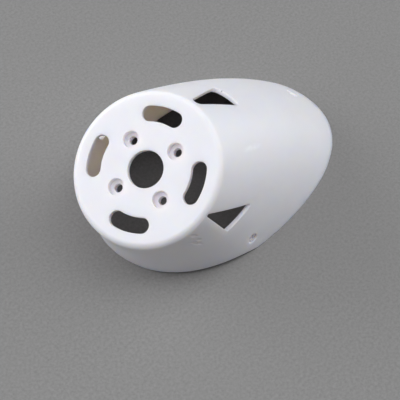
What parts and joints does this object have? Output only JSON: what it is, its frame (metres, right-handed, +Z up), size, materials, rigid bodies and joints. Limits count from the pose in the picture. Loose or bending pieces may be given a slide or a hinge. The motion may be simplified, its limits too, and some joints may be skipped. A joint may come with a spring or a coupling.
{
  "type": "model aircraft firewall",
  "caption": "One-piece moulded nose shell for a model aircraft, with a slotted motor face, a flared vented skin and an oblique open rim.",
  "frame": {"origin": "middle of the bottom of the box, on the plane of the level rim", "axes": "+Z up from the rim plane, +X towards the crown, the long side of the flared skin, +Y to the left flank"},
  "size_m": [0.1194, 0.0712, 0.0542],
  "materials": {
    "white_plastic": "satin moulded white plastic with fine grain and a few light scuffs"
  },
  "bodies": {
    "root": {"firewall_shell": "white_plastic"}
  },
  "joints": []
}
